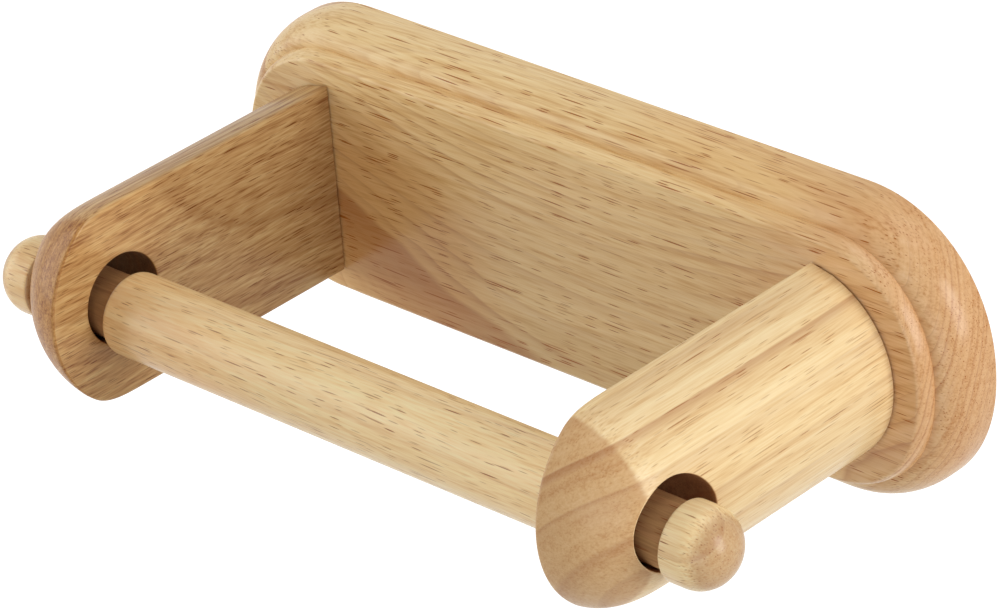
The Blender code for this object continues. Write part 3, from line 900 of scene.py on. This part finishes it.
plateSteel = makeZincedSteel("zinc-plated pressed steel")
screwSteel = makeZincedSteel("zinc-plated rolled steel")
makePlate([makeWood("lacquered rubberwood, plate", plateWood),
           makeWood("routed rubberwood, plate", bare(plateWood))])
for side, word, look in ((-1, "left", leftArmWood), (1, "right", rightArmWood)):
    makeArm(side, word + "_arm", [makeWood(f"lacquered rubberwood, {word} arm", look),
                                  makeWood(f"drilled rubberwood, {word} arm", bare(look))])
makeRoller([makeWood("turned and lacquered rubberwood", rollerWood),
            makeWood("turned rubberwood, worn bare with painted shade", bare(rollerWood))])
for side, word in ((-1, "left"), (1, "right")):
    makeHanger(side, "hanger_plate_" + word, [plateSteel])
    for up, height in ((1, "upper"), (-1, "lower")):
        makeScrew(f"arm_screw_{word}_{height}", armScrew, side * (armFace() + armScrew["place"]),
                  up * armScrew["spacing"] / 2, [screwSteel])
        makeScrew(f"hanger_screw_{word}_{height}", hangerScrew, side * hanger["spacing"] / 2,
                  up * hanger["screwZ"], [screwSteel])


# Camera, floor and light

camera = {
    "target": (20.328, -58.163, 16.056),   # millimetres
    "azimuth": 44.8025,
    "elevation": 29.1614,
    "roll": -4.6780,
    "distance": 1091.667,
    "lens": 196.663,
    "sensor": 36,
    "clip": (0.05, 50),                    # metres
}

lamps = {
    # azimuth, elevation, how bright a white surface that faces it becomes, and its width and
    # height in metres
    "right": (100, 14, 0.485, 0.9, 1.5),
    "left": (-60, 14, 0.46, 2.0, 2.2),
    "high": (140, 70, 0.22, 1.8, 1.8),
    "front": (40, -5, 0.19, 1.8, 1.1),
}

studio = {
    "lampDistance": 2.5,      # metres, as are the floor's sizes
    "sky": 0.41,
    "floorDrop": 0.9,
    "floorSize": 12.0,
    "floorColour": "#B9B9B9",
    "floorRough": 0.9,
    "glow": 0.84,
}


def direction(azimuth, elevation):
    # Unit vector to a place at degrees of azimuth, from the front towards +X, and of elevation
    around, up = math.radians(azimuth), math.radians(elevation)
    return Vector((math.sin(around) * math.cos(up), -math.cos(around) * math.cos(up), math.sin(up)))


def makeCamera():
    # The camera stands at the photograph's angle: its axes come from azimuth, elevation and roll
    back = direction(camera["azimuth"], camera["elevation"])
    roll = math.radians(camera["roll"])
    right = (-back).cross(Vector((0, 0, 1))).normalized()
    up = right.cross(-back)
    rolledRight = math.cos(roll) * right + math.sin(roll) * up
    rolledUp = -math.sin(roll) * right + math.cos(roll) * up
    data = bpy.data.cameras.new("camera")
    data.sensor_width = camera["sensor"]
    data.lens = camera["lens"]
    data.clip_start, data.clip_end = camera["clip"]
    item = bpy.data.objects.new("camera", data)
    place = Vector(camera["target"]) * millimetre + back * camera["distance"] * millimetre
    turned = Matrix((rolledRight, rolledUp, back)).transposed().to_4x4()
    item.matrix_world = Matrix.Translation(place) @ turned
    bpy.context.scene.collection.objects.link(item)
    bpy.context.scene.camera = item


def makeLamp(name, azimuth, elevation, strength, wide, high):
    # A soft box that looks at the object: power = pi squared x distance squared x strength
    back = direction(azimuth, elevation)
    data = bpy.data.lights.new(name, "AREA")
    data.shape = "RECTANGLE"
    data.size, data.size_y = wide, high
    data.energy = math.pi ** 2 * studio["lampDistance"] ** 2 * strength
    item = bpy.data.objects.new(name, data)
    turned = back.to_track_quat("Z", "Y").to_matrix().to_4x4()
    item.matrix_world = Matrix.Translation(back * studio["lampDistance"]) @ turned
    item.visible_camera = False
    bpy.context.scene.collection.objects.link(item)


def seenDirectly(tree):
    # 1 for what the camera sees directly, in a reflection or through glass, and 0 for light on surfaces
    path = addNode(tree, "LightPath").outputs
    seen = addNode(tree, "Math", {0: path["Is Camera Ray"], 1: path["Is Glossy Ray"]}, operation="MAXIMUM")
    return addNode(tree, "Math", {0: seen, 1: path["Is Transmission Ray"]}, operation="MAXIMUM")


def makeWorld():
    # Even light from all round, which reads as white where it is seen
    world = bpy.data.worlds.new("studio")
    bpy.context.scene.world = world
    world.use_nodes = True
    tree = world.node_tree
    sky = tree.nodes["Background"]
    sky.inputs["Color"].default_value = (1, 1, 1, 1)
    strength = addNode(tree, "MapRange", {"Value": seenDirectly(tree), "To Min": studio["sky"]})
    tree.links.new(strength.outputs[0], sky.inputs["Strength"])


def makeFloor():
    # Matt pale floor, far below the wall-mounted object. It shows its own shading, shadow included,
    # and a glow for what is seen makes up the rest to white.
    half, z = studio["floorSize"] / 2, -studio["floorDrop"]
    mesh = bpy.data.meshes.new("floor")
    corners = [(x * half, y * half, z) for x, y in ((-1, -1), (1, -1), (1, 1), (-1, 1))]
    mesh.from_pydata(corners, [], [(0, 1, 2, 3)])
    material, tree, shader = newMaterial("matt painted board")
    shader.inputs["Base Color"].default_value = colour(studio["floorColour"])
    shader.inputs["Roughness"].default_value = studio["floorRough"]
    shader.inputs["Specular IOR Level"].default_value = 0.0
    share = addNode(tree, "Math", {0: seenDirectly(tree), 1: studio["glow"]}, operation="MULTIPLY")
    glow = addNode(tree, "Emission", {"Strength": share})
    both = addNode(tree, "AddShader", {0: shader, 1: glow})
    tree.links.new(both.outputs[0], tree.nodes["Material Output"].inputs["Surface"])
    mesh.materials.append(material)
    floor = bpy.data.objects.new("floor", mesh)
    bpy.context.scene.collection.objects.link(floor)


makeCamera()
for name, setting in lamps.items():
    makeLamp(name, *setting)
makeWorld()
makeFloor()
print("camera, lamps and floor set")
bpy.context.scene.view_settings.view_transform = "Standard"
